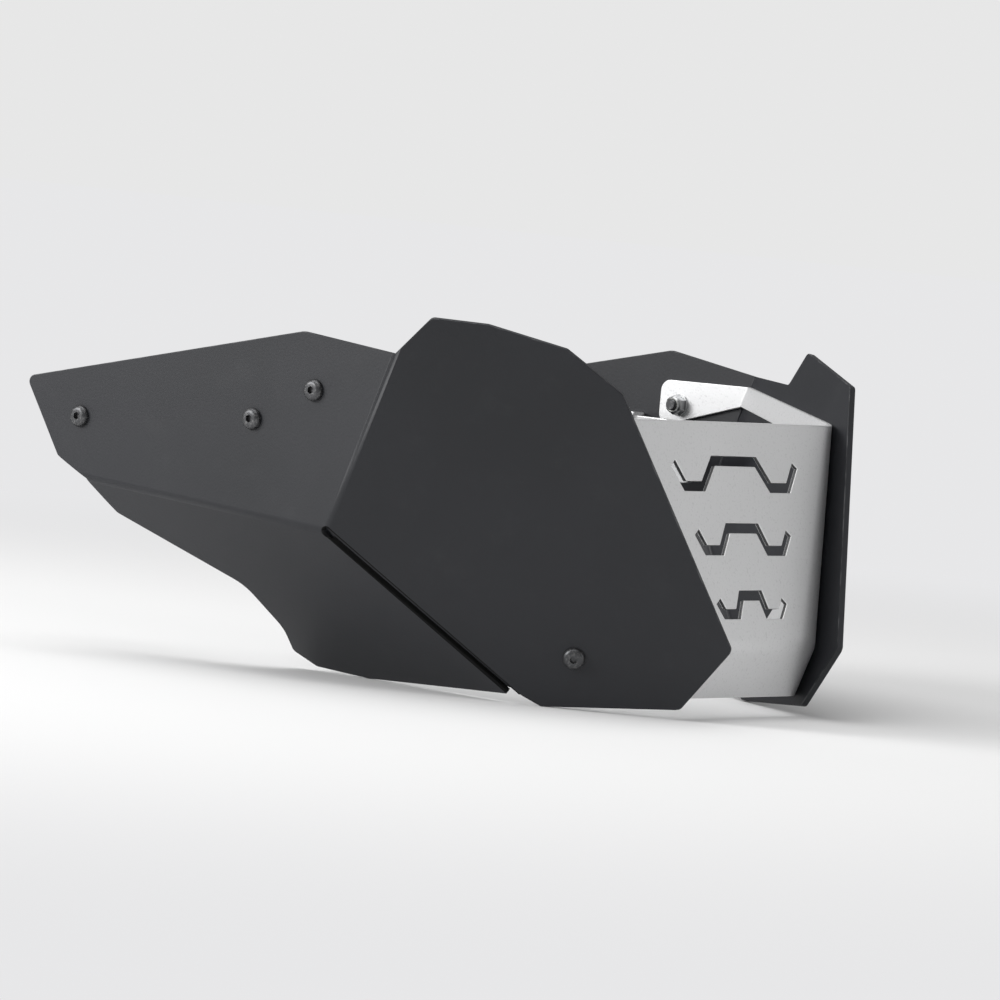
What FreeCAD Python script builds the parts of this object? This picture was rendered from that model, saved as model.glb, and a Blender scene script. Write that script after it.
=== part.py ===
"""Motorcycle engine spoiler: two folded side panels, a slotted front plate, brackets and fasteners.

Frame: X forward, Y to the left, Z up, in millimetres.  Z = 0 is the level of the bottom edges,
Y = 0 the mid plane, X = 0 the middle of the length.
"""
import FreeCAD, Part
import Sketcher
import os
import re

doc = FreeCAD.newDocument("EngineSpoiler")
sheet = doc.addObject("Spreadsheet::Sheet", "Sizes")

# Driving dimensions.  "Corner" is the point on each panel where its three facets meet.  Outlines are
# given from there: along is forward on the facet, back is rearward, up and down follow the facet.
SIZES = {
    # side panel: sheet, folds and attitude of the facets
    "wall": 3.0,
    "fold_radius": 2.5,
    "edge_radius": 3.0,
    "half_width": 140.0,
    "corner_height": 66.0,
    "toe_in": 31.0,
    "fin_tilt": 10.5,
    "belly_roll": 43.0,
    "fold_slope": 3.7,
    "slit_width": 5.0,
    "relief_radius": 2.5,
    # upper rear facet
    "fold_top": 79.0,
    "left_fold_top": 76.0,
    "peak_back": 22.0,
    "peak_up": 84.0,
    "tail_back": 174.0,
    "tail_up": 50.0,
    "heel_back": 152.0,
    "heel_up": 17.0,
    "fold_back": 135.0,
    # front facet, the fin
    "crest_along": 38.7,
    "crest_up": 97.3,
    "ridge_along": 62.8,
    "ridge_up": 96.7,
    "brow_along": 97.0,
    "brow_up": 89.4,
    "tip_along": 122.0,
    "tip_up": 72.4,
    "nose_along": 177.5,
    "nose_down": 34.5,
    "chin_along": 157.5,
    "chin_rise": 4.6,
    "toe_clip_along": 8.5,
    "toe_clip_up": 3.9,
    # horn of the left fin
    "notch_along": 60.0,
    "notch_up": 76.0,
    "horn_along": 71.0,
    "horn_up": 92.0,
    "horn_tip_along": 122.0,
    "horn_tip_up": 80.0,
    # belly facet, with its bay round the exhaust
    "belly_heel_back": 125.0,
    "belly_heel_down": 18.6,
    "bay_back": 64.4,
    "bay_down": 47.9,
    "bay_front": 52.0,
    "bay_low": 71.0,
    "bay_radius": 18.0,
    "belly_clip": 10.5,
    "rim_rise": 1.8,
    "sole_back": 12.0,
    "belly_toe_rise": 3.9,
    # strip that backs the slit between fin and belly
    "strip_wall": 1.5,
    "strip_width": 11.0,
    "strip_start": -5.0,
    "strip_end": 3.0,
    # front plate: sheet, face and chin, wings on the fins, ears on the rear facets
    "plate_wall": 2.0,
    "plate_bend": 11.0,
    "ear_bend": 3.0,
    "fin_proud": 16.0,
    "plate_lean": 15.2,
    "face_height": 98.0,
    "chin_lean": 20.5,
    "chin_length": 25.0,
    "wing_depth": 22.0,
    "arm_top": 72.0,
    "arm_low": 62.5,
    "ear_reach": 11.0,
    "lug_half": 10.0,
    "plate_corner": 5.0,
    # wave slots: width, drop of the top row, pitch and rise; then the bends as shares of the face's half
    # width there, with what each row below loses
    "slot_width": 4.4,
    "slot_drop": 28.2,
    "slot_pitch": 27.8,
    "slot_rise": 11.3,
    "slot_rise_loss": 1.6,
    "slot_tip_rise": 10.0,
    "slot_tip_loss": 2.2,
    "slot_high_share": 0.219,
    "slot_high_less": 0.042,
    "slot_inner_share": 0.347,
    "slot_inner_less": 0.07,
    "slot_outer_share": 0.532,
    "slot_outer_less": 0.07,
    "slot_tip_share": 0.628,
    "slot_tip_less": 0.08,
    # screws: places on the rear facet and on the fin
    "rear_screw_back": 141.0,
    "rear_screw_up": 35.5,
    "front_screw_back": 45.0,
    "front_screw_up": 44.0,
    "ear_screw_back": 13.0,
    "ear_screw_up": 59.5,
    "fin_screw_along": 110.5,
    "fin_screw_down": 44.5,
    # fasteners
    "screw_radius": 2.5,
    "screw_hole_radius": 2.75,
    "head_radius": 4.75,
    "head_height": 2.75,
    "head_taper": -38.0,
    "socket_width": 3.0,
    "socket_depth": 1.6,
    "screw_spare": 1.5,
    "washer_radius": 5.0,
    "washer_thick": 1.0,
    "nut_width": 8.0,
    "nut_height": 5.0,
    "nut_gap": 0.15,
    # brackets to the engine
    "bracket_wall": 4.0,
    "bracket_bend": 4.0,
    "bracket_width": 28.0,
    "bracket_end": 12.0,
    "bracket_corner": 7.0,
    "bracket_step": 32.0,
    "bracket_run": 20.0,
    "bracket_pitch": 56.0,
    "engine_hole_up": 40.0,
    "engine_hole_radius": 4.25,
}

for row, (name, number) in enumerate(SIZES.items(), start=1):
    sheet.set(f"A{row}", name)
    sheet.set(f"B{row}", str(number))
    sheet.setAlias(f"B{row}", name)
doc.recompute()


def bound(text):
    """An expression written with the names of the sizes, as the document reads it."""
    return re.sub(r"[a-z][a-z_0-9]*", lambda m: f"Sizes.{m[0]}" if m[0] in SIZES else m[0], text)


def value(text):
    return float(sheet.evalExpression(bound(text)))


def sketch_on(body, name, role, offset):
    """A sketch on one of the body's own origin planes, shifted and turned by an expression."""
    sketch = body.newObject("Sketcher::SketchObject", name)
    support = next(f for f in body.Origin.OriginFeatures if f.Role == role)
    sketch.AttachmentSupport = [(support, "")]
    sketch.MapMode = "FlatFace"
    sketch.setExpression("AttachmentOffset", bound(offset))
    return sketch


def place_point(sketch, geometry, end, x, y):
    for kind, text in (("DistanceX", x), ("DistanceY", y)):
        index = sketch.addConstraint(Sketcher.Constraint(kind, -1, 1, geometry, end, value(text)))
        sketch.setExpression(f"Constraints[{index}]", bound(text))


def outline(sketch, points):
    """A closed outline through points, each a pair of expressions from the sketch's origin."""
    spots = [FreeCAD.Vector(value(x), value(y), 0) for x, y in points]
    count = len(spots)
    first = sketch.GeometryCount
    for i in range(count):
        sketch.addGeometry(Part.LineSegment(spots[i], spots[(i + 1) % count]), False)
    for i in range(count):
        sketch.addConstraint(Sketcher.Constraint("Coincident", first + i, 2, first + (i + 1) % count, 1))
    for i, (x, y) in enumerate(points):
        place_point(sketch, first + i, 1, x, y)
    return sketch


def circle(sketch, x, y, radius):
    """A round outline, its place and radius given as expressions."""
    centre = FreeCAD.Vector(value(x), value(y), 0)
    index = sketch.addGeometry(Part.Circle(centre, FreeCAD.Vector(0, 0, 1), value(radius)), False)
    place_point(sketch, index, 3, x, y)
    size = sketch.addConstraint(Sketcher.Constraint("Radius", index, value(radius)))
    sketch.setExpression(f"Constraints[{size}]", bound(radius))
    return sketch


def pad(body, sketch, length, backward=False):
    feature = body.newObject("PartDesign::Pad", sketch.Name + "_pad")
    feature.Profile = sketch
    feature.setExpression("Length", bound(length))
    feature.Reversed = backward
    doc.recompute()
    return feature


def cut(body, sketch, length):
    """A pocket to both sides of its sketch, which has to take something away."""
    before = body.Tip.Shape.Volume
    feature = body.newObject("PartDesign::Pocket", sketch.Name + "_pocket")
    feature.Profile = sketch
    feature.setExpression("Length", bound(length))
    feature.Midplane = True
    doc.recompute()
    if not feature.Shape.Volume < before:
        raise RuntimeError(f"{sketch.Name} cuts nothing")
    return feature


def shave(body, sketch, forward):
    """A deep pocket to one side of its sketch's plane: forward is along the sketch's normal."""
    before = body.Tip.Shape.Volume
    feature = body.newObject("PartDesign::Pocket", sketch.Name + "_shave")
    feature.Profile = sketch
    feature.setExpression("Length", bound("4 * half_width"))
    feature.Reversed = forward
    doc.recompute()
    if not 0 < feature.Shape.Volume < before:
        raise RuntimeError(f"{sketch.Name} cuts nothing")
    return feature


def placed_plane(sketch):
    return sketch.Placement.Base, sketch.Placement.Rotation.multVec(FreeCAD.Vector(0, 0, 1))


def lies_on(face, flat):
    spot, normal = flat
    if face.Surface.TypeId != "Part::GeomPlane":
        return False
    aligned = face.Surface.Axis.cross(normal).Length < 1e-5
    return aligned and abs((face.Surface.Position - spot).dot(normal)) < 1e-4


def edge_between(shape, first, second):
    """Name of the edge in which two flat sides of the shape meet."""
    one = next(face for face in shape.Faces if lies_on(face, first))
    other = next(face for face in shape.Faces if lies_on(face, second))
    shared = [edge for edge in one.Edges if any(edge.isSame(twin) for twin in other.Edges)]
    return next(f"Edge{i}" for i, edge in enumerate(shape.Edges, start=1) if edge.isSame(shared[0]))


def edges_along(shape, start, end, reach):
    """Names of the straight edges beside the line from start to end, nearest first."""
    way = (end - start).normalize()
    found = []
    for number, edge in enumerate(shape.Edges, start=1):
        first, last = edge.firstVertex().Point, edge.lastVertex().Point
        run = last - first
        if edge.Curve.TypeId != "Part::GeomLine" or run.Length < 0.3 * (end - start).Length:
            continue
        gap = (first - start).cross(way).Length
        if run.cross(way).Length < 1e-4 * run.Length and gap < reach:
            found.append((gap, f"Edge{number}"))
    return [name for gap, name in sorted(found)]


def corner_edges(shape, sketch, points, corners):
    """Names of the edges that stand on the sheet at the given corners of an outline."""
    normal = sketch.Placement.Rotation.multVec(FreeCAD.Vector(0, 0, 1))
    names = []
    for corner in corners:
        x, y = points[corner]
        spot = sketch.Placement.multVec(FreeCAD.Vector(value(x), value(y), 0))
        for number, edge in enumerate(shape.Edges, start=1):
            ends = [vertex.Point for vertex in edge.Vertexes]
            if len(ends) == 2 and all((end - spot).cross(normal).Length < 1e-4 for end in ends):
                names.append(f"Edge{number}")
    return names


def round_off(body, name, edges, radius):
    feature = body.newObject("PartDesign::Fillet", name)
    feature.Base = (feature.BaseFeature, edges)
    feature.setExpression("Radius", bound(radius))
    doc.recompute()
    return feature


def fold(body, name, start, end, wall, radius):
    """Rounds a fold of the sheet: the outer edge first, then the inner one, with one bend centre."""
    outer = edges_along(body.Tip.Shape, start, end, 0.2 * value(wall))
    round_off(body, name + "_outside", outer, f"{radius} + {wall}")
    inner = edges_along(body.Tip.Shape, start, end, 2.5 * value(wall))
    inner = [edge for edge in inner if is_hollow(body.Tip.Shape, edge)]
    round_off(body, name + "_inside", inner, radius)


def is_hollow(shape, name):
    """True for an edge in an inside corner of the shape."""
    edge = shape.getElement(name)
    middle = edge.valueAt((edge.FirstParameter + edge.LastParameter) / 2)
    faces = [face for face in shape.Faces if any(edge.isSame(other) for other in face.Edges)]
    if len(faces) != 2:
        return False
    normals = [face.normalAt(*face.Surface.parameter(middle)) for face in faces]
    return shape.isInside(middle + (normals[0] + normals[1]).normalize() * 0.05, 1e-6, True) is False \
        and shape.isInside(middle - (normals[0] + normals[1]).normalize() * 0.05, 1e-6, True)


# Attitude of the facets on one side: +1 is the right panel, -1 the left one.  Each frame sits at the
# panel's corner with x forward along the facet and y up along it; depth goes into the sheet.
NOSE_REACH = "(nose_along * cos(toe_in) - nose_down * sin(toe_in) * sin(fin_tilt))"
TAIL_RISE = "atan((peak_up - tail_up) / (tail_back - peak_back))"
TAIL_FALL = "atan((tail_up - heel_up) / (tail_back - heel_back))"
TAIL_ROUND = f"(edge_radius * ((cos({TAIL_RISE}) + cos({TAIL_FALL})) / sin({TAIL_RISE} + {TAIL_FALL}) - 1))"
CORNER_X = f"((tail_back - {TAIL_ROUND} - {NOSE_REACH}) / 2)"


def facet_frame(side, turn, depth):
    corner = f"vector({CORNER_X}; corner_height; {side} * half_width)"
    sink = f"placement(vector(0; 0; -{side} * ({depth})); rotation(vector(0; 0; 1); 0))"
    return f"placement({corner}; {turn}) * {sink}"


def rear_frame(side, depth="0"):
    return facet_frame(side, "rotation(vector(0; 0; 1); 0)", depth)


def fin_frame(side, depth="0"):
    toe = f"rotation(vector(0; 1; 0); {side} * toe_in)"
    tilt = f"rotation(vector(1; 0; 0); {side} * fin_tilt)"
    return facet_frame(side, f"{toe} * {tilt}", depth)


def belly_frame(side, depth="0"):
    slope = "rotation(vector(0; 0; 1); -fold_slope)"
    roll = f"rotation(vector(1; 0; 0); {side} * belly_roll)"
    return facet_frame(side, f"{slope} * {roll}", depth)


# The slit between fin and belly follows the line in which their planes meet: its slope on each facet,
# and how far the cut edge stands off that line.
FIN_SLIT = ("((sin(fold_slope) * sin(belly_roll) * cos(toe_in) + cos(belly_roll) * sin(toe_in))"
            " / (cos(belly_roll) * cos(toe_in) * sin(fin_tilt)"
            " - sin(fold_slope) * sin(belly_roll) * sin(toe_in) * sin(fin_tilt)"
            " - cos(fold_slope) * sin(belly_roll) * cos(fin_tilt)))")
BELLY_SLIT = ("(-(sin(toe_in) * cos(fin_tilt) * cos(fold_slope) + sin(fin_tilt) * sin(fold_slope))"
              " / (sin(toe_in) * cos(fin_tilt) * sin(fold_slope) * cos(belly_roll)"
              " + cos(toe_in) * cos(fin_tilt) * sin(belly_roll)"
              " - sin(fin_tilt) * cos(fold_slope) * cos(belly_roll)))")
FIN_EDGE = f"(slit_width / 2 * sqrt(1 + {FIN_SLIT} ^ 2))"
BELLY_EDGE = f"(slit_width / 2 * sqrt(1 + {BELLY_SLIT} ^ 2))"

# Upper rear facet: from the corner up the front fold, along the top, down the tail to the belly fold.
FOLD_TOP = {1: "fold_top", -1: "left_fold_top"}


def rear_outline(side):
    return [
        ("0", "0"),
        (f"{FOLD_TOP[side]} * tan(fin_tilt) / sin(toe_in)", FOLD_TOP[side]),
        ("-peak_back", "peak_up"),
        ("-tail_back", "tail_up"),
        ("-heel_back", "heel_up"),
        ("-fold_back", "fold_back * tan(fold_slope)"),
    ]



# Fin: its top differs from side to side, its nose, sole and slit edge are the same.
FOLD_LEAN = "(sin(fin_tilt) / tan(toe_in))"
FIN_SOLE = "(-corner_height / cos(fin_tilt))"
FIN_HEEL = f"({FIN_EDGE} / (1 - {FIN_SLIT} * {FOLD_LEAN}))"
FIN_CLIP = f"(({FIN_SOLE} + toe_clip_up - {FIN_EDGE}) / {FIN_SLIT})"
FIN_TOP = {
    1: [("crest_along", "crest_up"), ("ridge_along", "ridge_up"),
        ("brow_along", "brow_up"), ("tip_along", "tip_up")],
    -1: [("notch_along", "notch_up"), ("horn_along", "horn_up"), ("horn_tip_along", "horn_tip_up")],
}


def fin_outline(side):
    return [
        (f"{FOLD_TOP[side]} * tan(fin_tilt) / tan(toe_in)", f"{FOLD_TOP[side]} / cos(fin_tilt)"),
        *FIN_TOP[side],
        ("nose_along", "-nose_down"),
        ("chin_along", f"{FIN_SOLE} + chin_rise"),
        (f"{FIN_CLIP} + toe_clip_along", FIN_SOLE),
        (FIN_CLIP, f"{FIN_SOLE} + toe_clip_up"),
        (f"{FIN_HEEL} * {FOLD_LEAN}", FIN_HEEL),
    ]


# Belly facet: from the fold down the tail, round the exhaust bay, along the sole and up the slit.
BELLY_DROP = "(cos(fold_slope) * cos(belly_roll))"
BELLY_TOE = (f"(({BELLY_EDGE} - (corner_height - belly_toe_rise) / {BELLY_DROP})"
             f" / ({BELLY_SLIT} - sin(fold_slope) / {BELLY_DROP}))")


def belly_sole(x, rise="0"):
    """Place on the belly, at x along it, that is rise above the ground."""
    return f"(-(corner_height - {rise} - ({x}) * sin(fold_slope)) / {BELLY_DROP})"


BELLY_OUTLINE = [
    (f"{BELLY_EDGE} / {BELLY_SLIT}", "0"),
    ("-fold_back / cos(fold_slope)", "0"),
    ("-belly_heel_back", "-belly_heel_down"),
    ("-bay_back", "-bay_down"),
    ("-bay_front", "-bay_low"),
    ("-bay_front", f"{belly_sole('-bay_front')} + belly_clip"),
    ("-bay_front + belly_clip", belly_sole("-bay_front + belly_clip", "rim_rise")),
    ("-sole_back", belly_sole("-sole_back")),
    (BELLY_TOE, belly_sole(BELLY_TOE, "belly_toe_rise")),
]

# Strip welded behind the slit: one leg lies inside the fin, one inside the belly, and they meet where
# those inner faces do.
SLIT_TURN = ("acos(cos(toe_in) * cos(fin_tilt) * cos(belly_roll)"
             " + sin(fin_tilt) * sin(belly_roll) * cos(fold_slope)"
             " - sin(toe_in) * cos(fin_tilt) * sin(belly_roll) * sin(fold_slope))")
STRIP_INSET = f"(wall * tan({SLIT_TURN} / 2))"


def strip_leg(slit, way, toe, taper):
    """A leg beside the slit: the slit's slope on the facet, above (+1) or below (-1) it, the place along
    the facet where the slit ends, and the slant of the leg's end."""
    steep = f"sqrt(1 + {slit} ^ 2)"
    end = f"({toe} * {steep} - strip_end)"
    leg = []
    for along, off in (("strip_start", "0"), (end, "0"),
                       (f"{end} - {taper}", "strip_width"), ("strip_start", "strip_width")):
        aside = f"{way} * ({STRIP_INSET} + {off})"
        leg.append((f"(({along}) - {slit} * ({aside})) / {steep}", f"(({along}) * {slit} + ({aside})) / {steep}"))
    return leg


# Screws through each panel: facet, place along it and up it.
BRACKET_SCREWS = [("-rear_screw_back", "rear_screw_up"), ("-front_screw_back", "front_screw_up")]
EAR_SCREW = ("-ear_screw_back", "ear_screw_up")
FIN_SCREW = ("fin_screw_along", "-fin_screw_down")


def side_panel(side, label):
    """One folded sheet: three facets, two rounded folds, the slit and its strip, and four screw holes."""
    body = doc.addObject("PartDesign::Body", label)
    inward = side > 0
    rear_points, fin_points = rear_outline(side), fin_outline(side)
    rear = outline(sketch_on(body, label + "_rear", "XZ_Plane", rear_frame(side)), rear_points)
    pad(body, rear, "wall", inward)
    fin = outline(sketch_on(body, label + "_fin", "XZ_Plane", fin_frame(side)), fin_points)
    pad(body, fin, "wall", inward)
    belly = outline(sketch_on(body, label + "_belly", "XZ_Plane", belly_frame(side)), BELLY_OUTLINE)
    pad(body, belly, "wall", inward)
    relief = circle(sketch_on(body, label + "_relief", "XZ_Plane", rear_frame(side)), "0", "0", "relief_radius")
    cut(body, relief, "6 * wall")

    corner, front_fold_top, belly_fold_end = (
        rear.Placement.multVec(FreeCAD.Vector(value(x), value(y), 0))
        for x, y in (rear_points[0], rear_points[1], rear_points[5]))
    fold(body, label + "_front_fold", corner, front_fold_top, "wall", "fold_radius")
    fold(body, label + "_belly_fold", corner, belly_fold_end, "wall", "fold_radius")

    rear_holes = sketch_on(body, label + "_rear_holes", "XZ_Plane", rear_frame(side))
    for x, y in BRACKET_SCREWS + [EAR_SCREW]:
        circle(rear_holes, x, y, "screw_hole_radius")
    cut(body, rear_holes, "3 * wall")
    fin_hole = sketch_on(body, label + "_fin_hole", "XZ_Plane", fin_frame(side))
    circle(fin_hole, *FIN_SCREW, "screw_hole_radius")
    cut(body, fin_hole, "3 * wall")

    corners = corner_edges(body.Tip.Shape, rear, rear_points, (2, 3, 4))
    corners += corner_edges(body.Tip.Shape, fin, fin_points, range(1, len(fin_points) - 2))
    corners += corner_edges(body.Tip.Shape, belly, BELLY_OUTLINE, (2, 5, 6, 7))
    round_off(body, label + "_corners", corners, "edge_radius")
    bay = corner_edges(body.Tip.Shape, belly, BELLY_OUTLINE, (3, 4))
    round_off(body, label + "_bay", bay, "bay_radius")
    for facet, frame, leg in (("fin", fin_frame, strip_leg(FIN_SLIT, 1, FIN_CLIP, f"strip_width / {FIN_SLIT}")),
                              ("belly", belly_frame, strip_leg(BELLY_SLIT, -1, BELLY_TOE, "strip_width"))):
        strip = sketch_on(body, f"{label}_{facet}_strip", "XZ_Plane", frame(side, "wall"))
        pad(body, outline(strip, leg), "strip_wall", inward)
    return body


# Front plate.  Its chin fold lies behind the noses of the fins; the wings lie on the fins' inner faces.
FOLD_X = f"({NOSE_REACH} - fin_proud)"
FOLD_Z = "(-nose_down * cos(fin_tilt))"
MITRE = "(wall * (1 - cos(toe_in) * cos(fin_tilt)))"
FACE_BASE = f"vector(0; corner_height + {FOLD_Z}; {CORNER_X} + {FOLD_X})"


def face_frame():
    return f"placement({FACE_BASE}; rotation(vector(1; 0; 0); -plate_lean))"


def chin_frame():
    return f"placement({FACE_BASE}; rotation(vector(1; 0; 0); chin_lean))"


def half_between_fins(x, z):
    """Half the width between the fins' inner faces at a place given from the panels' corners."""
    return (f"(half_width - (sin(toe_in) * cos(fin_tilt) * ({x}) - sin(fin_tilt) * ({z}) + wall)"
            f" / (cos(toe_in) * cos(fin_tilt)))")


def face_half(y):
    return half_between_fins(f"{FOLD_X} - ({y}) * sin(plate_lean)", f"{FOLD_Z} + ({y}) * cos(plate_lean)")


def chin_half(y):
    return half_between_fins(f"{FOLD_X} + ({y}) * sin(chin_lean)", f"{FOLD_Z} + ({y}) * cos(chin_lean)")


def wing_root(y):
    """Where the face's plane meets the wing at height y on the wing."""
    return (f"(({FOLD_X} - ({y}) * sin(toe_in) * sin(fin_tilt) + wall * sin(toe_in) * cos(fin_tilt)"
            f" - tan(plate_lean) * (({y}) * cos(fin_tilt) + wall * sin(fin_tilt) - {FOLD_Z})) / cos(toe_in))")


def arm_fold(y):
    """Where the wing's arm meets the ear at height y on the wing."""
    return f"(({y}) * {FOLD_LEAN} + {MITRE} / sin(toe_in))"


def side_view(x, y):
    """A place on the wing's outer face as seen from the side: forward of the corner and above it."""
    return (f"(({x}) * cos(toe_in) + ({y}) * sin(toe_in) * sin(fin_tilt) - wall * sin(toe_in) * cos(fin_tilt))",
            f"(({y}) * cos(fin_tilt) + wall * sin(fin_tilt))")


WING_TOP = f"(({FOLD_Z} + face_height * cos(plate_lean) - wall * sin(fin_tilt)) / cos(fin_tilt))"
ARM_ROOT = f"({WING_TOP} - (arm_top - arm_low))"
CHIN_TIP_X = f"({FOLD_X} - chin_length * sin(chin_lean))"
CHIN_TIP_Z = f"({FOLD_Z} - chin_length * cos(chin_lean))"
EAR_END = "(-ear_screw_back - ear_reach)"
LUG_REAR = "fin_screw_along - lug_half"
LUG_FRONT = "fin_screw_along + lug_half"
LUG_HIGH = "lug_half - fin_screw_down"
LUG_LOW = "-lug_half - fin_screw_down"

# The plate seen from the side: ears, arms, face, chin and lugs; in front of the sheet there is room to spare.
PLATE_SIDE = [
    (EAR_END, "ear_screw_up + ear_reach"),
    side_view(arm_fold("arm_top"), "arm_top"),
    (f"{FOLD_X} - face_height * sin(plate_lean)", f"{FOLD_Z} + face_height * cos(plate_lean)"),
    (f"{FOLD_X} + fin_proud", f"{FOLD_Z} + face_height * cos(plate_lean)"),
    (f"{FOLD_X} + fin_proud", CHIN_TIP_Z),
    (f"{CHIN_TIP_X} - plate_bend - 2 * plate_wall", CHIN_TIP_Z),
    side_view(LUG_FRONT, LUG_LOW),
    side_view(f"{LUG_REAR} + plate_corner", LUG_LOW),
    side_view(LUG_REAR, f"{LUG_LOW} + plate_corner"),
    side_view(LUG_REAR, LUG_HIGH),
    side_view(f"{wing_root('0')} - wing_depth", "0"),
    side_view(f"{wing_root(ARM_ROOT)} - wing_depth", ARM_ROOT),
    side_view(arm_fold("arm_low"), "arm_low"),
    (EAR_END, "ear_screw_up - ear_reach"),
]


def slot_outline(row):
    """A wave of constant width: tips up, low flats, a high flat in the middle, mitred at each bend."""
    low = f"(face_height - slot_drop - {row} * slot_pitch)"
    high = f"({low} + slot_rise - {row} * slot_rise_loss)"
    tip_up = f"({low} + slot_tip_rise - {row} * slot_tip_loss)"
    crest, inner, outer, tip = (f"({face_half(low)} * (slot_{bend}_share - {row} * slot_{bend}_less))"
                                for bend in ("high", "inner", "outer", "tip"))
    ramp = f"atan(({high} - {low}) / ({inner} - {crest}))"
    horn = f"atan(({tip_up} - {low}) / ({tip} - {outer}))"
    half = "slot_width / 2"
    ramp_mitre = f"{half} * tan({ramp} / 2)"
    horn_mitre = f"{half} * tan({horn} / 2)"
    upper = [
        (f"{crest} + {ramp_mitre}", f"{high} + {half}"),
        (f"{inner} + {ramp_mitre}", f"{low} + {half}"),
        (f"{outer} - {horn_mitre}", f"{low} + {half}"),
        (f"{tip} - {half} * sin({horn})", f"{tip_up} + {half} * cos({horn})"),
    ]
    lower = [
        (f"{tip} + {half} * sin({horn})", f"{tip_up} - {half} * cos({horn})"),
        (f"{outer} + {horn_mitre}", f"{low} - {half}"),
        (f"{inner} - {ramp_mitre}", f"{low} - {half}"),
        (f"{crest} - {ramp_mitre}", f"{high} - {half}"),
    ]
    left = upper + lower
    return left + [(f"-({x})", y) for x, y in reversed(left)]


def rectangle(left, low, right, high):
    return [(left, low), (right, low), (right, high), (left, high)]


def plate_block(label, depth, bend, spare):
    """A solid nose with the plate's planes as its sides, depth inside them, and its folds rounded.

    spare is how far it runs on past the sheet's free edges.
    """
    body = doc.addObject("PartDesign::Body", label)
    half = f"half_width - wall - {depth}"
    plan = sketch_on(body, label + "_plan", "XY_Plane",
                     f"placement(vector({CORNER_X}; 0; 0); rotation(vector(0; 0; 1); 0))")
    outline(plan, rectangle(f"{EAR_END} - {spare}", f"-({half})", f"{FOLD_X} + fin_proud", half))
    pad(body, plan, f"corner_height + crest_up + {spare}")
    wings = {}
    for side, hand in ((1, "right"), (-1, "left")):
        wings[hand] = sketch_on(body, f"{label}_{hand}_wing", "XZ_Plane", fin_frame(side, f"wall + {depth}"))
        outline(wings[hand], rectangle("-half_width", "-2 * half_width", "3 * half_width", "2 * half_width"))
        shave(body, wings[hand], side > 0)
    sink = f"placement(vector(0; 0; -({depth})); rotation(vector(0; 0; 1); 0))"
    face = sketch_on(body, label + "_face", "YZ_Plane", f"{face_frame()} * {sink}")
    outline(face, rectangle("-2 * half_width", "-2 * half_width", "2 * half_width", "2 * half_width"))
    shave(body, face, True)
    chin = sketch_on(body, label + "_chin", "YZ_Plane", f"{chin_frame()} * {sink}")
    outline(chin, rectangle("-2 * half_width", "-2 * half_width", "2 * half_width", "2 * half_width"))
    shave(body, chin, True)

    ears = [(FreeCAD.Vector(0, -side * value(half), 0), FreeCAD.Vector(0, 1, 0)) for side in (1, -1)]
    fins = [placed_plane(wings[hand]) for hand in ("right", "left")]
    front, under = placed_plane(face), placed_plane(chin)
    folds = [edge_between(body.Tip.Shape, flat, fin) for flat in (front, under) for fin in fins]
    folds.append(edge_between(body.Tip.Shape, front, under))
    round_off(body, label + "_folds", folds, bend)
    ear_folds = [edge_between(body.Tip.Shape, ear, fin) for ear, fin in zip(ears, fins)]
    round_off(body, label + "_ear_folds", ear_folds, f"ear_bend + plate_wall - {depth}")
    return body


def front_plate(label):
    """One folded sheet: face and chin, a wing and an arm on each fin, an ear on each rear facet."""
    body = plate_block(label, "0", "plate_bend + plate_wall", "plate_wall")
    hollow = plate_block(label + "_hollow", "plate_wall", "plate_bend", "half_width")
    shell = body.newObject("PartDesign::Boolean", label + "_shell")
    shell.Type = "Cut"
    shell.setObjects([hollow])
    doc.recompute()

    side = sketch_on(body, label + "_side", "XZ_Plane",
                     f"placement(vector({CORNER_X}; corner_height; 0); rotation(vector(0; 0; 1); 0))")
    outline(side, PLATE_SIDE)
    outline(side, rectangle("-2 * half_width", "-2 * half_width", "2 * half_width", "2 * half_width"))
    cut(body, side, "3 * half_width")
    corners = corner_edges(body.Tip.Shape, side, PLATE_SIDE, (0, 6, 9, 10, 13))
    round_off(body, label + "_corners", corners, "plate_corner")
    slots = sketch_on(body, label + "_slots", "YZ_Plane", face_frame())
    for row in range(3):
        outline(slots, slot_outline(row))
    cut(body, slots, "4 * plate_wall")
    for side, hand in ((1, "right"), (-1, "left")):
        fin_hole = sketch_on(body, f"{label}_{hand}_fin_hole", "XZ_Plane", fin_frame(side, "wall"))
        cut(body, circle(fin_hole, *FIN_SCREW, "screw_hole_radius"), "4 * plate_wall")
        ear_hole = sketch_on(body, f"{label}_{hand}_ear_hole", "XZ_Plane", rear_frame(side, "wall"))
        cut(body, circle(ear_hole, *EAR_SCREW, "screw_hole_radius"), "4 * plate_wall")
    return body


# Brackets.  In plan each is a strap with a joggle: a leg on the panel, a slanting web, a leg on the engine.
WEB_TURN = "(bracket_wall * tan(atan(bracket_step / bracket_run) / 2))"
STRAP = [
    ("-bracket_end", "0"),
    ("bracket_end", "0"),
    ("bracket_end + bracket_run", "bracket_step"),
    ("bracket_pitch + bracket_end", "bracket_step"),
    ("bracket_pitch + bracket_end", "bracket_step + bracket_wall"),
    (f"bracket_end + bracket_run - {WEB_TURN}", "bracket_step + bracket_wall"),
    (f"bracket_end - {WEB_TURN}", "bracket_wall"),
    ("-bracket_end", "bracket_wall"),
]


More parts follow.
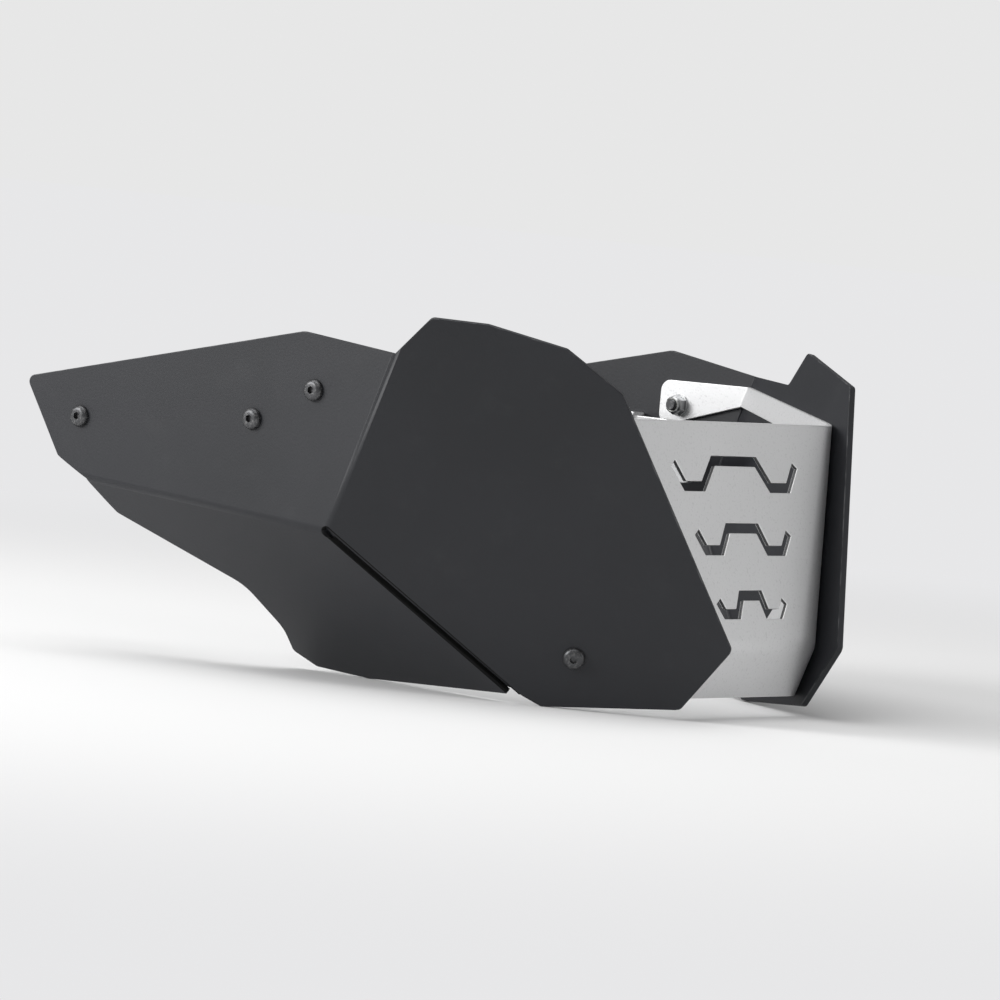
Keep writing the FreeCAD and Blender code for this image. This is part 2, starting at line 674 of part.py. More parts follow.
def bracket(side, screw, label):
    """One bent strap from a panel screw to a hole for the engine bolt."""
    body = doc.addObject("PartDesign::Body", label)
    back, up = screw
    plan = sketch_on(body, label + "_plan", "XY_Plane",
                     f"placement(vector({CORNER_X} + {back}; {side} * (wall - half_width);"
                     f" corner_height + engine_hole_up); rotation(vector(1; 0; 0); {90 - 90 * side}))")
    strap = outline(plan, STRAP)
    feature = pad(body, strap, "bracket_width")
    feature.Midplane = True
    doc.recompute()
    tight = corner_edges(body.Tip.Shape, strap, STRAP, (2, 6))
    round_off(body, label + "_bends_inside", tight, "bracket_bend")
    wide = corner_edges(body.Tip.Shape, strap, STRAP, (1, 5))
    round_off(body, label + "_bends_outside", wide, "bracket_bend + bracket_wall")
    ends = []
    for one, other in ((0, 7), (3, 4)):
        for half in ("-bracket_width / 2", "bracket_width / 2"):
            start, end = (strap.Placement.multVec(FreeCAD.Vector(value(x), value(y), value(half)))
                          for x, y in (STRAP[one], STRAP[other]))
            ends += edges_along(body.Tip.Shape, start, end, 1e-3)
    round_off(body, label + "_ends", ends, "bracket_corner")
    panel_hole = sketch_on(body, label + "_panel_hole", "XZ_Plane", rear_frame(side, "wall"))
    cut(body, circle(panel_hole, back, up, "screw_hole_radius"), "4 * bracket_wall")
    engine_hole = sketch_on(body, label + "_engine_hole", "XZ_Plane", rear_frame(side, "wall + bracket_step"))
    circle(engine_hole, f"{back} + bracket_pitch", "engine_hole_up", "engine_hole_radius")
    cut(body, engine_hole, "4 * bracket_wall")
    return body


# Fasteners.  Each pattern piece stands with its outer contact face at z = 0 and runs inward along -z.
def hexagon(width):
    """Corners of a hexagon, given its width across the flats."""
    reach = f"({width}) / 2 / cos(30)"
    return [(f"{reach} * cos({60 * i})", f"{reach} * sin({60 * i})") for i in range(6)]


def level(height):
    return f"placement(vector(0; 0; {height}); rotation(vector(0; 0; 1); 0))"


def button_screw(label, grip):
    body = doc.addObject("PartDesign::Body", label)
    shank = circle(sketch_on(body, label + "_shank", "XY_Plane", level("0")), "0", "0", "screw_radius")
    pad(body, shank, f"{grip} + washer_thick + nut_height + screw_spare", True)
    head = circle(sketch_on(body, label + "_head", "XY_Plane", level("0")), "0", "0", "head_radius")
    pad(body, head, "head_height").setExpression("TaperAngle", bound("head_taper"))
    doc.recompute()
    socket = sketch_on(body, label + "_socket", "XY_Plane", level("head_height"))
    cut(body, outline(socket, hexagon("socket_width")), "2 * socket_depth")
    return body


def washer(label):
    body = doc.addObject("PartDesign::Body", label)
    ring = sketch_on(body, label + "_ring", "XY_Plane", level("0"))
    circle(ring, "0", "0", "washer_radius")
    circle(ring, "0", "0", "screw_hole_radius")
    pad(body, ring, "washer_thick", True)
    return body


def lock_nut(label):
    body = doc.addObject("PartDesign::Body", label)
    flats = sketch_on(body, label + "_flats", "XY_Plane", level("0"))
    pad(body, outline(flats, hexagon("nut_width")), "nut_height", True)
    bore = sketch_on(body, label + "_bore", "XY_Plane", level("0"))
    cut(body, circle(bore, "0", "0", "screw_radius + nut_gap"), "3 * nut_height")
    return body


def fastened(label, pattern, places):
    """A group of like fasteners; a place is side, facet frame, screw place and depth in the stack."""
    links = []
    for number, (side, frame, (x, y), depth) in enumerate(places, start=1):
        link = doc.addObject("App::Link", f"{label}_{number}")
        link.LinkedObject = pattern
        link.LinkTransform = False
        upright = "placement(vector(0; 0; 0); rotation(vector(1; 0; 0); 90))"
        seat = f"placement(vector({x}; {y}; 0); rotation(vector(1; 0; 0); {90 - 90 * side}))"
        link.setExpression("Placement", bound(f"{upright} * {frame(side, depth)} * {seat}"))
        links.append(link)
    group = doc.addObject("Part::Compound", label)
    group.Links = links
    doc.recompute()
    return group


def bracket_places(depth):
    return [(side, rear_frame, screw, depth) for side in (1, -1) for screw in BRACKET_SCREWS]


def plate_places(depth):
    return [(side, frame, screw, depth) for side in (1, -1)
            for frame, screw in ((rear_frame, EAR_SCREW), (fin_frame, FIN_SCREW))]


nodes = [
    side_panel(1, "right_side_panel"),
    side_panel(-1, "left_side_panel"),
    front_plate("front_plate"),
    bracket(1, BRACKET_SCREWS[0], "right_rear_bracket"),
    bracket(1, BRACKET_SCREWS[1], "right_front_bracket"),
    bracket(-1, BRACKET_SCREWS[0], "left_rear_bracket"),
    bracket(-1, BRACKET_SCREWS[1], "left_front_bracket"),
    fastened("bracket_screws", button_screw("bracket_screw", "wall + bracket_wall"), bracket_places("0")),
    fastened("plate_screws", button_screw("plate_screw", "wall + plate_wall"), plate_places("0")),
    fastened("washers", washer("washer"),
             bracket_places("wall + bracket_wall") + plate_places("wall + plate_wall")),
    fastened("lock_nuts", lock_nut("lock_nut"),
             bracket_places("wall + bracket_wall + washer_thick")
             + plate_places("wall + plate_wall + washer_thick")),
]
doc.recompute()

for item in doc.Objects:
    if "Invalid" in item.State or "Error" in item.State:
        raise RuntimeError(f"{item.Name} is in state {item.State}")
for node in nodes:
    if node.Shape.isNull() or not node.Shape.isValid() or node.Shape.Volume <= 0:
        raise RuntimeError(f"{node.Label} has no valid shape")

os.makedirs("parts", exist_ok=True)
for node in nodes:
    node.Shape.exportStep(f"parts/{node.Label}.step")
    print(node.Label, len(node.Shape.Solids), round(node.Shape.Volume), node.Shape.BoundBox)
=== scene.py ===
import math

import bmesh
import bpy
from mathutils import Matrix, Vector


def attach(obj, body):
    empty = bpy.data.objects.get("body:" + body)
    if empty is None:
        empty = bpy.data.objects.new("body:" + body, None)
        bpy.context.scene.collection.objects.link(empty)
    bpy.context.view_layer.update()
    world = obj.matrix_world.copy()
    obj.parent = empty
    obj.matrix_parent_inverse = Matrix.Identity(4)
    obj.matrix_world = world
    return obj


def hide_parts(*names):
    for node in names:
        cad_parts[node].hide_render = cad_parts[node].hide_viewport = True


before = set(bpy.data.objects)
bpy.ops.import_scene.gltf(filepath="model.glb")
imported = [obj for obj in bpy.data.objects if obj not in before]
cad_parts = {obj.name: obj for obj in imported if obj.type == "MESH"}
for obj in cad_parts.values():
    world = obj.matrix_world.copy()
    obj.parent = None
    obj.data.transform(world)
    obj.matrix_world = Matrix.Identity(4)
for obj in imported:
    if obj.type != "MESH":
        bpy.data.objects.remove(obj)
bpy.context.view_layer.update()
bpy.context.scene.view_settings.view_transform = "Standard"


# Side panels
# Each is one sheet of 3 mm aluminium, cut out flat, folded twice and slit at the corner between the folds.
# A thin folded strip is welded behind the slit, and the whole is powder-coated satin black.
class Shade:
    """One socket in a material. Sums on it add the nodes that work them out."""

    def __init__(self, tree, socket=None):
        self.tree, self.socket = tree, socket

    def node(self, kind, settings=(), inputs=(), output=0):
        """Adds a node: its settings first, then the values or links of its sockets."""
        made = self.tree.nodes.new(kind)
        for name, setting in dict(settings).items():
            setattr(made, name, setting)
        for key, content in dict(inputs).items():
            if isinstance(content, Shade):
                self.tree.links.new(content.socket, made.inputs[key])
            else:
                made.inputs[key].default_value = content
        return Shade(self.tree, made.outputs[output])

    def sum(self, operation, *terms):
        return self.node("ShaderNodeMath", {"operation": operation}, enumerate(terms))

    def __add__(self, other):
        return self.sum("ADD", self, other)

    def __radd__(self, other):
        return self.sum("ADD", other, self)

    def __sub__(self, other):
        return self.sum("SUBTRACT", self, other)

    def __rsub__(self, other):
        return self.sum("SUBTRACT", other, self)

    def __mul__(self, other):
        return self.sum("MULTIPLY", self, other)

    def __rmul__(self, other):
        return self.sum("MULTIPLY", other, self)

    def between(self, low, high):
        """0 where this is low, 1 where it is high, eased in between."""
        return self.node("ShaderNodeMapRange", {"interpolation_type": "SMOOTHSTEP"},
                         {"Value": self, "From Min": low, "From Max": high})

    def tint(self, dark, light):
        """The colour dark where this is 0, light where it is 1."""
        return self.node("ShaderNodeMix", {"data_type": "RGBA"}, {0: self, 6: dark, 7: light}, output=2)

    def grain(self, per_metre, detail=2.0, roughness=0.5):
        """Noise over this vector, in features per metre."""
        return self.node("ShaderNodeTexNoise", {}, {"Vector": self, "Scale": per_metre, "Detail": detail,
                                                    "Roughness": roughness})

    def marked(self, name):
        """1 on the faces that carry the mark of this name, 0 on the others."""
        return self.node("ShaderNodeAttribute", {"attribute_name": name}, output="Fac")

    def relief(self, strength, distance):
        """This as the height of a fine relief."""
        return self.node("ShaderNodeBump", {}, {"Strength": strength, "Distance": distance, "Height": self})


def finish(name, constants):
    """A material with its fixed shader values; gives it, its shader node and the place on the piece."""
    material = bpy.data.materials.new(name)
    material.use_nodes = True
    shader = material.node_tree.nodes["Principled BSDF"]
    for socket, constant in constants.items():
        shader.inputs[socket].default_value = constant
    place = Shade(material.node_tree).node("ShaderNodeTexCoord", output="Object")
    return material, shader, place


def feed(shader, **varying):
    """Links what changes over the surface to the shader's sockets."""
    for socket, source in varying.items():
        source.tree.links.new(source.socket, shader.inputs[socket.replace("_", " ")])


def black_coat():
    """A satin coat with a faint orange peel, some dust, edges rubbed lighter, and painted shade that turns
    the slit black.
    """
    dark, light = (0.0105, 0.0115, 0.0145, 1), (0.0165, 0.0175, 0.0215, 1)
    dusty, worn, shade_black = (0.030, 0.031, 0.034, 1), (0.120, 0.120, 0.125, 1), (0.002, 0.002, 0.002, 1)
    material, shader, place = finish("satin_black_coat", {"Specular IOR Level": 0.42})
    cloud = place.grain(14.0, 3.0)
    peel = place.grain(900.0, 1.0)
    speck = place.grain(2600.0, 2.0)
    slit_shade = place.marked("slit_shade")
    rubbed = place.marked("edge") * place.grain(130.0, 4.0).between(0.44, 0.66) * 0.6
    dust = place.grain(60.0, 5.0, 0.65).between(0.50, 0.85) * 0.35
    coat = (cloud.between(0.3, 0.7) * 0.6 + speck * 0.4).tint(dark, light)
    coat = dust.tint(coat, dusty)
    coat = rubbed.tint(coat, worn)
    # Painted shade: the slit and the strip behind it are painted nearly black and made rough.
    coat = slit_shade.tint(coat, shade_black)
    feed(shader, Base_Color=coat, Roughness=0.42 + 0.10 * cloud + 0.05 * speck + 0.12 * dust + 0.4 * slit_shade,
         Normal=(peel + 0.25 * speck).relief(0.10, 0.0004))
    return material


def piece_from(work, name, material):
    """A new object in the scene with the shape, which is then freed."""
    mesh = bpy.data.meshes.new(name)
    work.to_mesh(mesh)
    work.free()
    mesh.materials.append(material)
    piece = bpy.data.objects.new(name, mesh)
    bpy.context.scene.collection.objects.link(piece)
    return piece


WELD, FLAT_WITHIN, CUT_OVER, FLATS_FIRST = 2e-6, math.radians(0.6), math.radians(50), 100


def eased_sheet(node, name, ease, material, spared=lambda place: False):
    """A folded sheet welded from a node's triangles, its cut edges eased where they are not spared."""
    work = bmesh.new()
    work.from_mesh(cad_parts[node].data)
    mark = work.faces.layers.float.new("edge")
    bmesh.ops.remove_doubles(work, verts=work.verts, dist=WELD)
    bmesh.ops.dissolve_limit(work, angle_limit=FLAT_WITHIN, verts=work.verts, edges=work.edges)
    sharp = [edge for edge in work.edges if edge.is_manifold and edge.calc_face_angle() > CUT_OVER
             and not any(spared(vertex.co) for vertex in edge.verts)]
    band = bmesh.ops.bevel(work, geom=sharp, offset=ease, offset_type="OFFSET", affect="EDGES", segments=2,
                           profile=0.5, material=-1, clamp_overlap=False)["faces"]
    for face in band:
        face[mark] = 1.0
    for face in work.faces:
        face.smooth = True
    piece = piece_from(work, name, material)
    piece.modifiers.new("flats", "WEIGHTED_NORMAL").weight = FLATS_FIRST
    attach(piece, "root")
    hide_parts(node)
    return piece


# The two folds and the slit of a panel meet in one corner, below and in front of the ear's screw.
HALF_WIDTH, CORNER_HEIGHT = 0.140, 0.066
EAR_BACK, HEAD_RADIUS = 0.013, 0.00475
TOE_IN, FIN_TILT = math.radians(31), math.radians(10.5)
BELLY_ROLL, FOLD_SLOPE = math.radians(43), math.radians(3.7)
ear_screw_x = min(vertex.co.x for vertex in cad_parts["plate_screws"].data.vertices) + HEAD_RADIUS
corner = Vector((ear_screw_x + EAR_BACK, -HALF_WIDTH, CORNER_HEIGHT))
rear_turn = Matrix.Rotation(math.pi / 2, 3, "X")
fin_turn = rear_turn @ Matrix.Rotation(TOE_IN, 3, "Y") @ Matrix.Rotation(FIN_TILT, 3, "X")
belly_turn = rear_turn @ Matrix.Rotation(-FOLD_SLOPE, 3, "Z") @ Matrix.Rotation(BELLY_ROLL, 3, "X")
outward = Vector((0, 0, 1))
slit_way = (fin_turn @ outward).cross(belly_turn @ outward).normalized()
fin_fold = (rear_turn @ outward).cross(fin_turn @ outward)
belly_fold = (rear_turn @ outward).cross(belly_turn @ outward)

PANEL_EASE, BELLY_FOLD_LENGTH = 0.00035, 0.135
SLIT_CLEAR, FOLD_CLEAR = 0.0135, 0.006


def too_fine(arm, fold_ends):
    """Whether the edges are too short to ease here: by the slit or an outer end of a fold."""
    by_slit = arm.cross(slit_way).length < SLIT_CLEAR and arm.dot(slit_way) > -SLIT_CLEAR
    return by_slit or any((arm - end).length < FOLD_CLEAR for end in fold_ends)


SLIT_REACH = 0.0045
LEG_SPAN, LEG_END, LEG_NEAR, LEG_BEHIND, LEG_MORE = (0.048, 0.067), 0.0735, 0.001, 0.00285, 0.0055
panel_black = black_coat()
for hand, side, fold_top in (("right", 1, 0.079), ("left", -1, 0.076)):
    mirror = Matrix.Diagonal((1, side, 1))
    fold_ends = [fin_fold * fold_top / fin_fold.z, belly_fold * BELLY_FOLD_LENGTH / -belly_fold.x]
    panel = eased_sheet(f"{hand}_side_panel", f"{hand}_panel_sheet", PANEL_EASE, panel_black,
                        lambda place: too_fine(mirror @ place - corner, fold_ends))
    # The lower leg of the strip is drawn on to the end of the slit.
    for vertex in panel.data.vertices:
        along, up, out = belly_turn.transposed() @ (mirror @ vertex.co - corner)
        if LEG_SPAN[0] < along < LEG_SPAN[1] and abs(up + LEG_END) < LEG_NEAR and out < -LEG_BEHIND:
            vertex.co += mirror @ (slit_way * LEG_MORE)
    # The strip and the walls of the slit are marked for painted shade: the coat paints them nearly black,
    # as if little light got there.
    from_slit = [(mirror @ vertex.co - corner).cross(slit_way).length for vertex in panel.data.vertices]
    slit_shade = panel.data.attributes.new("slit_shade", "FLOAT", "FACE")
    for face in panel.data.polygons:
        slit_shade.data[face.index].value = float(all(from_slit[index] < SLIT_REACH for index in face.vertices))


# Front plate
# A pressed sheet of 2 mm aluminium between the fins: a leaning face with three wave slots, a chin turned
# back under it, wings along the fins and an arm to an ear on each side. It is blasted and clear anodised.
def blasted_aluminium():
    """A bright satin metal with fine pits, lighter at the edges, and painted shade that darkens the walls
    of the slots.
    """
    dark, light = (0.67, 0.675, 0.68, 1), (0.78, 0.78, 0.785, 1)
    pitted, bright, slot_shade_black = (0.46, 0.46, 0.465, 1), (0.90, 0.90, 0.90, 1), (0.035, 0.035, 0.037, 1)
    material, shader, place = finish("blasted_aluminium", {"Metallic": 0.8})
    cloud = place.grain(9.0, 3.0)
    bead = place.grain(1700.0, 2.0)
    pit = place.grain(820.0, 2.0, 0.7).between(0.54, 0.74)
    edge = place.marked("edge")
    metal = (cloud * 0.7 + bead * 0.3).tint(dark, light)
    metal = (pit * 0.3).tint(metal, pitted)
    metal = (edge * 0.5).tint(metal, bright)
    # Painted shade: the walls of the slots are painted nearly black.
    metal = (place.marked("slot_wall_shade") * (0.8 + 0.2 * bead)).tint(metal, slot_shade_black)
    feed(shader, Base_Color=metal, Roughness=0.46 + 0.10 * cloud - 0.12 * edge + 0.10 * pit,
         Normal=(bead - 0.6 * pit).relief(0.12, 0.0002))
    return material


PLATE_EASE, FACE_LEAN = 0.0003, math.radians(15.2)
SLOT_HALF, SLOT_LOW, SLOT_HIGH, WALL_TURN = 0.055, 0.030, 0.122, 0.2
plate = eased_sheet("front_plate", "front_plate_sheet", PLATE_EASE, blasted_aluminium())
# The walls of the slots are marked for painted shade: they stand square to the face.
facing = Vector((math.cos(FACE_LEAN), 0, math.sin(FACE_LEAN)))
slot_wall_shade = plate.data.attributes.new("slot_wall_shade", "FLOAT", "FACE")
for face in plate.data.polygons:
    in_slots = abs(face.center.y) < SLOT_HALF and SLOT_LOW < face.center.z < SLOT_HIGH
    slot_wall_shade.data[face.index].value = float(in_slots and abs(face.normal.dot(facing)) < WALL_TURN)


# Brackets
# Four joggled straps of 4 mm steel, bent cold and zinc plated. A panel screw goes through one end of each
# and an engine bolt through the other.
def zinc_plating(name, dark, light, polish):
    """Spangled plating with faint stains and brighter edges; faces marked nylon are plain plastic."""
    stained, bright, plastic = (0.34, 0.33, 0.30, 1), (0.72, 0.72, 0.72, 1), (0.62, 0.63, 0.60, 1)
    material, shader, place = finish(name, {"Metallic": 1.0})
    cloud = place.grain(70.0, 3.0)
    spangle = place.node("ShaderNodeTexVoronoi", {}, {"Vector": place, "Scale": 420.0}, output="Distance")
    edge = place.marked("edge")
    nylon = place.marked("nylon")
    stain = place.grain(190.0, 4.0, 0.6).between(0.55, 0.80)
    metal = (cloud * 0.7 + spangle * 0.5).tint(dark, light)
    metal = (stain * 0.35).tint(metal, stained)
    metal = (edge * 0.5).tint(metal, bright)
    metal = nylon.tint(metal, plastic)
    feed(shader, Base_Color=metal, Metallic=1.0 - nylon,
         Roughness=polish + 0.14 * cloud + 0.12 * stain - 0.08 * edge,
         Normal=(spangle + cloud).relief(0.08, 0.0002))
    return material


STRAP_EASE = 0.0004
bracket_zinc = zinc_plating("bracket_zinc", (0.38, 0.385, 0.39, 1), (0.50, 0.505, 0.51, 1), 0.34)
for hand in ("right", "left"):
    for end in ("rear", "front"):
        strap = eased_sheet(f"{hand}_{end}_bracket", f"{hand}_{end}_strap", STRAP_EASE, bracket_zinc)


# Screws
# Eight steel button screws with a hex socket, forged, threaded and blackened. Two on each side hold
# the brackets to the panel; one holds an ear of the front plate and one a wing.
HEAD_HEIGHT, HEAD_FLAT, HEAD_RIM, HEAD_EASE, DOME_STEPS = 0.00275, 0.0024, 0.0005, 0.0002, 7
SOCKET_RADIUS, SOCKET_DEPTH = 0.0015 / math.cos(math.pi / 6), 0.0016
SHANK_RADIUS, THREAD_PITCH, THREAD_DEPTH = 0.0025, 0.0008, 0.0003
WASHER_HEIGHT, NUT_HEIGHT, SPARE = 0.001, 0.005, 0.0015
BRACKET_GRIP, PLATE_GRIP = 0.007, 0.005
REAR_SPOT, FRONT_SPOT = (-0.141, 0.0355), (-0.045, 0.044)
EAR_SPOT, WING_SPOT = (-EAR_BACK, 0.0595), (0.1105, -0.0445)
TURN_STEPS, SEAM, CREASE = 36, 1e-7, math.radians(35)


def screw_places(*spots):
    """Where screws sit on both panels: facet, place along it and up it. Z points out of the panel."""
    places = []
    for side in (1, -1):
        mirror = Matrix.Diagonal((1, side, 1))
        for facet, along, up in spots:
            seat = mirror @ (corner + facet @ Vector((along, up, 0)))
            turn = (mirror @ facet @ outward).to_track_quat("Z", "Y")
            places.append(Matrix.Translation(seat) @ turn.to_matrix().to_4x4())
    return places


def turned(profile):
    """A shape turned about Z from points of radius and height."""
    work = bmesh.new()
    points = [work.verts.new((radius, 0, height)) for radius, height in profile]
    edges = [work.edges.new(pair) for pair in zip(points, points[1:])]
    bmesh.ops.spin(work, geom=points + edges, cent=(0, 0, 0), axis=(0, 0, 1), angle=2 * math.pi,
                   steps=TURN_STEPS, use_merge=True)
    bmesh.ops.remove_doubles(work, verts=work.verts, dist=SEAM)
    return work


def button_screw(grip):
    """A screw with its seat under the head at Z = 0 and its shank below."""
    tip = -(grip + WASHER_HEIGHT + NUT_HEIGHT + SPARE)
    profile = [(0, tip), (SHANK_RADIUS - THREAD_DEPTH, tip)]
    for turn in range(int(-tip / THREAD_PITCH) - 1):
        height = tip + (turn + 0.5) * THREAD_PITCH
        profile += [(SHANK_RADIUS, height), (SHANK_RADIUS - THREAD_DEPTH, height + THREAD_PITCH / 2)]
    profile += [(SHANK_RADIUS, 0), (HEAD_RADIUS - HEAD_EASE, 0), (HEAD_RADIUS, HEAD_EASE)]
    for step in range(DOME_STEPS + 1):
        angle = step / DOME_STEPS * math.pi / 2
        profile.append((HEAD_FLAT + (HEAD_RADIUS - HEAD_FLAT) * math.cos(angle),
                        HEAD_RIM + (HEAD_HEIGHT - HEAD_RIM) * math.sin(angle)))
    work = turned(profile)
    rim = [edge for edge in work.edges if edge.is_boundary]
    hexagon = bmesh.ops.create_circle(work, cap_ends=False, radius=SOCKET_RADIUS, segments=6,
                                      matrix=Matrix.Translation((0, 0, HEAD_HEIGHT)))["verts"]
    mouth = list({edge for point in hexagon for edge in point.link_edges})
    bmesh.ops.bridge_loops(work, edges=rim + mouth)
    sunk = bmesh.ops.extrude_edge_only(work, edges=mouth)["geom"]
    bottom = [part for part in sunk if isinstance(part, bmesh.types.BMVert)]
    bmesh.ops.translate(work, verts=bottom, vec=(0, 0, -SOCKET_DEPTH))
    bmesh.ops.contextual_create(work, geom=bottom)
    return work


def fitted(work, places, name, nodes, material):
    """One piece with the shape set in each place."""
    bmesh.ops.recalc_face_normals(work, faces=work.faces)
    for face in work.faces:
        face.smooth = True
    for edge in work.edges:
        edge.smooth = edge.is_manifold and edge.calc_face_angle() < CREASE
    single = bpy.data.meshes.new(name + "_single")
    work.to_mesh(single)
    work.clear()
    for place in places:
        first = len(work.verts)
        work.from_mesh(single)
        work.verts.ensure_lookup_table()
        bmesh.ops.transform(work, matrix=place, verts=work.verts[first:])
    bpy.data.meshes.remove(single)
    piece = piece_from(work, name, material)
    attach(piece, "root")
    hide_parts(*nodes)


def black_oxide():
    """Blackened steel, rubbed lighter in patches."""
    dark, light, rubbed_steel = (0.060, 0.061, 0.064, 1), (0.095, 0.096, 0.100, 1), (0.240, 0.238, 0.235, 1)
    material, shader, place = finish("screw_black", {"Metallic": 0.85})
    cloud = place.grain(300.0, 3.0)
    rubbed = place.grain(900.0, 3.0, 0.6).between(0.48, 0.70)
    steel = (rubbed * 0.5).tint(cloud.tint(dark, light), rubbed_steel)
    feed(shader, Base_Color=steel, Roughness=0.30 + 0.16 * cloud + 0.08 * rubbed)
    return material


screw_black = black_oxide()
bracket_places = screw_places((rear_turn, *REAR_SPOT), (rear_turn, *FRONT_SPOT))
plate_places = screw_places((rear_turn, *EAR_SPOT), (fin_turn, *WING_SPOT))
fitted(button_screw(BRACKET_GRIP), bracket_places, "bracket_button_screws", ["bracket_screws"], screw_black)
fitted(button_screw(PLATE_GRIP), plate_places, "plate_button_screws", ["plate_screws"], screw_black)


# Washers and lock nuts
# Behind each screw sit a stamped washer and a hex lock nut, both zinc plated. A nylon ring is rolled
# into the collar of the nut.
WASHER_RADIUS, WASHER_BORE, WASHER_EASE = 0.005, 0.00275, 0.00015
NUT_HALF, NUT_BORE, NUT_COLLAR, NUT_HEX = 0.004, 0.00265, 0.0036, 0.0037
BORE_EASE, FOOT_INSET, FOOT_EASE, SHOULDER_EASE = 0.0003, 0.0001, 0.0004, 0.0005
COLLAR_STEP, COLLAR_ROLL, NYLON_EASE, NYLON_SINK = 0.0002, 0.0004, 0.0004, 0.0002
SLICE_NEAR = 1e-8
behind = [place @ Matrix.Translation((0, 0, -grip)) @ Matrix.Rotation(math.pi, 4, "X")
          for grip, places in ((BRACKET_GRIP, bracket_places), (PLATE_GRIP, plate_places))
          for place in places]


def washer():
    """A flat ring with its four rims eased."""
    bore, rim, top, ease = WASHER_BORE, WASHER_RADIUS, WASHER_HEIGHT, WASHER_EASE
    ring = [(bore, ease), (bore + ease, 0), (rim - ease, 0), (rim, ease),
            (rim, top - ease), (rim - ease, top), (bore + ease, top), (bore, top - ease)]
    return turned(ring + ring[:1])


def lock_nut():
    """A nut turned with chamfers and a collar, then cut to six flats."""
    point, foot = NUT_HALF / math.cos(math.pi / 6), WASHER_HEIGHT
    profile = [(NUT_BORE, BORE_EASE), (NUT_BORE + BORE_EASE, 0), (NUT_HALF - FOOT_INSET, 0),
               (point, FOOT_EASE), (point, NUT_HEX - SHOULDER_EASE), (NUT_HALF, NUT_HEX),
               (NUT_COLLAR, NUT_HEX + COLLAR_STEP), (NUT_COLLAR, NUT_HEIGHT - COLLAR_ROLL),
               (NUT_COLLAR - COLLAR_ROLL, NUT_HEIGHT), (NUT_BORE + NYLON_EASE, NUT_HEIGHT - NYLON_SINK),
               (NUT_BORE, NUT_HEIGHT - BORE_EASE)]
    work = turned([(radius, foot + height) for radius, height in profile + profile[:1]])
    nylon = work.faces.layers.float.new("nylon")
    for face in work.faces:
        middle = face.calc_center_median()
        face[nylon] = float(middle.z > foot + NUT_HEX and middle.xy.length < NUT_COLLAR - COLLAR_ROLL)
    for flat in range(6):
        across = Vector((math.cos(flat * math.pi / 3), math.sin(flat * math.pi / 3), 0))
        sliced = bmesh.ops.bisect_plane(work, geom=work.verts[:] + work.edges[:] + work.faces[:],
                                        dist=SLICE_NEAR, plane_co=across * NUT_HALF, plane_no=across,
                                        clear_outer=True)["geom_cut"]
        open_edges = [part for part in sliced if isinstance(part, bmesh.types.BMEdge)]
        bmesh.ops.edgeloop_fill(work, edges=open_edges)
    return work


fitted(washer(), behind, "stamped_washers", ["washers"],
       zinc_plating("washer_zinc", (0.46, 0.465, 0.47, 1), (0.58, 0.585, 0.59, 1), 0.28))
fitted(lock_nut(), behind, "collar_nuts", ["lock_nuts"],
       zinc_plating("nut_zinc", (0.42, 0.425, 0.43, 1), (0.54, 0.545, 0.55, 1), 0.26))


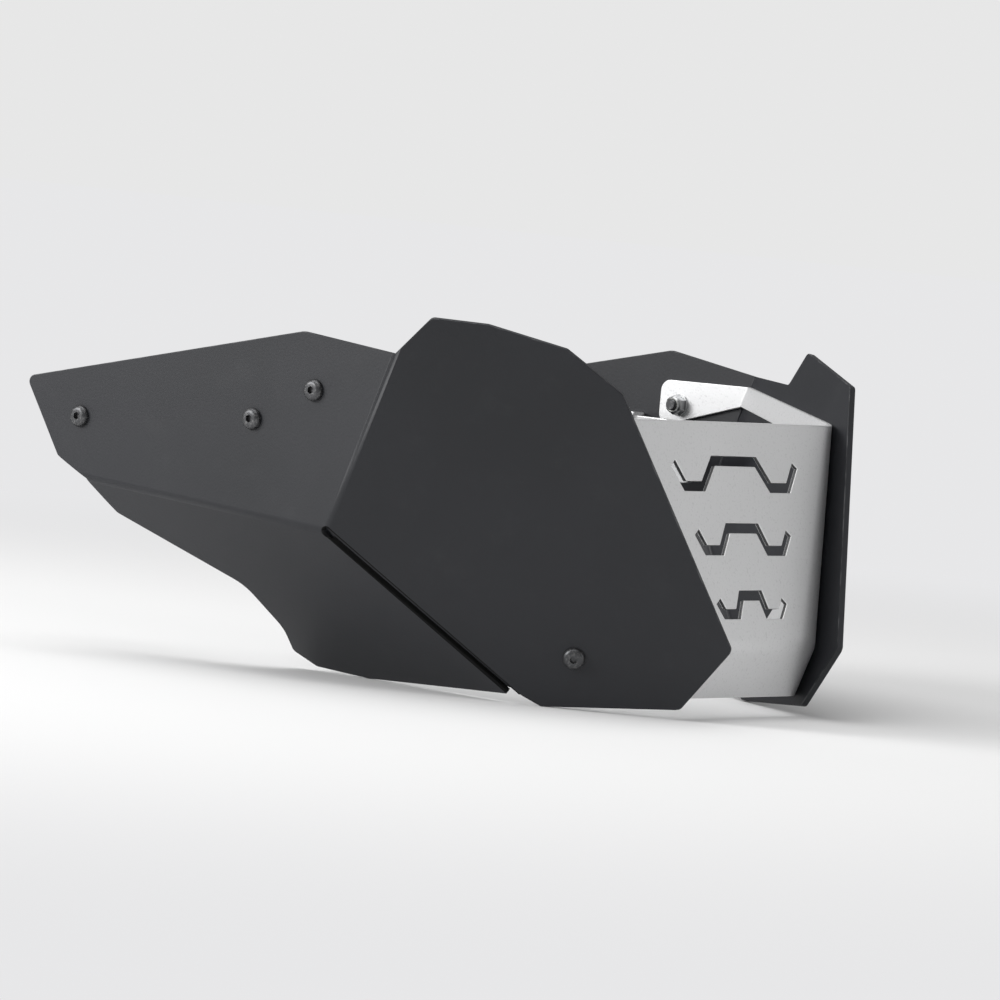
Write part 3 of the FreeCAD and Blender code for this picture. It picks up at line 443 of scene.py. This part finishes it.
# Floor, light and camera
# A pale floor that fades into the background, a broad softbox above, one high at the rear right and a weak
# one at the front left. The camera has the photograph's direction, tilt and distance.
FLOOR_HALF, FADE_FROM, FADE_TO = 12.0, 0.30, 1.1
PALE, BACKGROUND = (0.80, 0.80, 0.80, 1), (0.80, 0.80, 0.81, 1)
material, shader, place = finish("pale_floor", {"Base Color": PALE, "Roughness": 0.9,
                                                "Specular IOR Level": 0.1})
from_middle = place.node("ShaderNodeVectorMath", {"operation": "LENGTH"}, {0: place}, output="Value")
seen = place.node("ShaderNodeLightPath", output="Is Camera Ray")
fade = from_middle.between(FADE_FROM, FADE_TO) * seen
glow = place.node("ShaderNodeEmission", {}, {"Color": BACKGROUND, "Strength": 1.0})
matt = Shade(material.node_tree, shader.outputs[0])
blend = place.node("ShaderNodeMixShader", {}, {0: fade, 1: matt, 2: glow})
material.node_tree.links.new(blend.socket, material.node_tree.nodes["Material Output"].inputs["Surface"])
work = bmesh.new()
bmesh.ops.create_grid(work, x_segments=1, y_segments=1, size=FLOOR_HALF)
floor = piece_from(work, "floor", material)

SKY_LIGHT, SKY_MORE_SEEN = 0.32, 0.48
world = bpy.data.worlds.new("studio")
bpy.context.scene.world = world
world.use_nodes = True
sky = world.node_tree.nodes["Background"]
sky.inputs["Color"].default_value = (1, 1, 1, 1)
camera_ray = Shade(world.node_tree).node("ShaderNodeLightPath", output="Is Camera Ray")
strength = SKY_LIGHT + camera_ray * SKY_MORE_SEEN
world.node_tree.links.new(strength.socket, sky.inputs["Strength"])


def softbox(name, place, aim, size, watts):
    """A soft rectangular light that looks at its aim."""
    lamp = bpy.data.lights.new(name, "AREA")
    lamp.shape = "RECTANGLE"
    lamp.size, lamp.size_y = size
    lamp.energy = watts
    holder = bpy.data.objects.new(name, lamp)
    bpy.context.scene.collection.objects.link(holder)
    holder.location = place
    holder.rotation_euler = (Vector(aim) - Vector(place)).to_track_quat("-Z", "Y").to_euler()


softbox("softbox_above", place=(-0.1, -0.2, 1.7), aim=(0, 0, 0.08), size=(1.6, 1.6), watts=20)
softbox("softbox_rear_right", place=(-1.2, -1.55, 0.95), aim=(0, 0, 0.08), size=(1.2, 0.9), watts=35)
softbox("softbox_front_left", place=(1.9, 0.8, 0.6), aim=(0.1, 0, 0.08), size=(0.9, 0.9), watts=6)

EYE = Vector((1.6843, -2.3170, 0.2381))
AIM = Vector((0.0, 0.0, 0.080))
ROLL = math.radians(5.41)
lens = bpy.data.cameras.new("camera")
lens.sensor_width = 36.0
lens.lens = 232.0
camera = bpy.data.objects.new("camera", lens)
bpy.context.scene.collection.objects.link(camera)
camera.matrix_world = (Matrix.Translation(EYE) @ (AIM - EYE).to_track_quat("-Z", "Y").to_matrix().to_4x4()
                       @ Matrix.Rotation(ROLL, 4, "Z"))
bpy.context.scene.camera = camera
